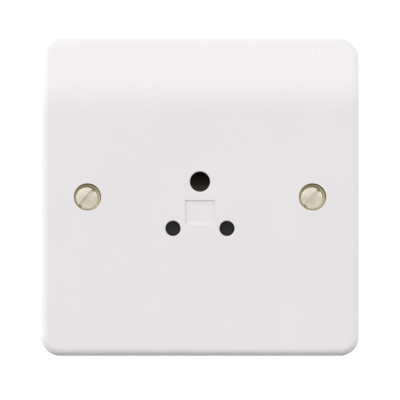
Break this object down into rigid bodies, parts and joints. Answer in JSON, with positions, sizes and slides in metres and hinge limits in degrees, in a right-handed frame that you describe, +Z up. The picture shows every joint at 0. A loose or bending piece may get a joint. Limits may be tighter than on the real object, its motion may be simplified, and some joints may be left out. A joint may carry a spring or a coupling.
{
  "type": "round pin socket",
  "caption": "White moulded single wall socket for small round three-pin plugs, unswitched, with a sliding shutter and two slotted fixing screws.",
  "frame": {"origin": "on the wall plane, at the centre of the plate, level with the fixing screws", "axes": "+X right seen from the room, +Y into the wall, +Z up"},
  "size_m": [0.086, 0.0271, 0.086],
  "materials": {
    "plate_white": "satin moulded",
    "base_white": "moulded",
    "shutter_grey": "moulded",
    "brass": "rolled and cut",
    "eyelet_brass": "drawn",
    "nickel": "nickel plated, turned",
    "zinc_steel": "zinc plated",
    "spring_steel": "drawn wire"
  },
  "bodies": {
    "housing": {"front_plate": "plate_white", "contact_base": "base_white", "shutter_housing": "base_white", "shutter_spring": "spring_steel", "line_contact": "brass", "neutral_contact": "brass", "earth_contact": "brass", "line_clip": "spring_steel", "neutral_clip": "spring_steel", "earth_clip": "spring_steel", "line_terminal": "brass", "neutral_terminal": "brass", "earth_terminal": "brass", "line_terminal_screw": "zinc_steel", "neutral_terminal_screw": "zinc_steel", "earth_terminal_screw": "zinc_steel", "earth_strap": "brass", "eyelet_left": "eyelet_brass", "eyelet_right": "eyelet_brass", "fixing_screw_left": "nickel", "fixing_screw_right": "nickel", "base_screw_left": "zinc_steel", "base_screw_right": "zinc_steel"},
    "shutter": {"shutter": "shutter_grey"}
  },
  "joints": [
    {"name": "shutter_slide", "type": "slide", "parent": "housing", "child": "shutter", "axis": [0, 0, -1], "range_m": [0, 0.0046], "stiffness_N_per_m": 80, "springref_m": -0.004, "deforming": ["shutter_spring"]}
  ]
}
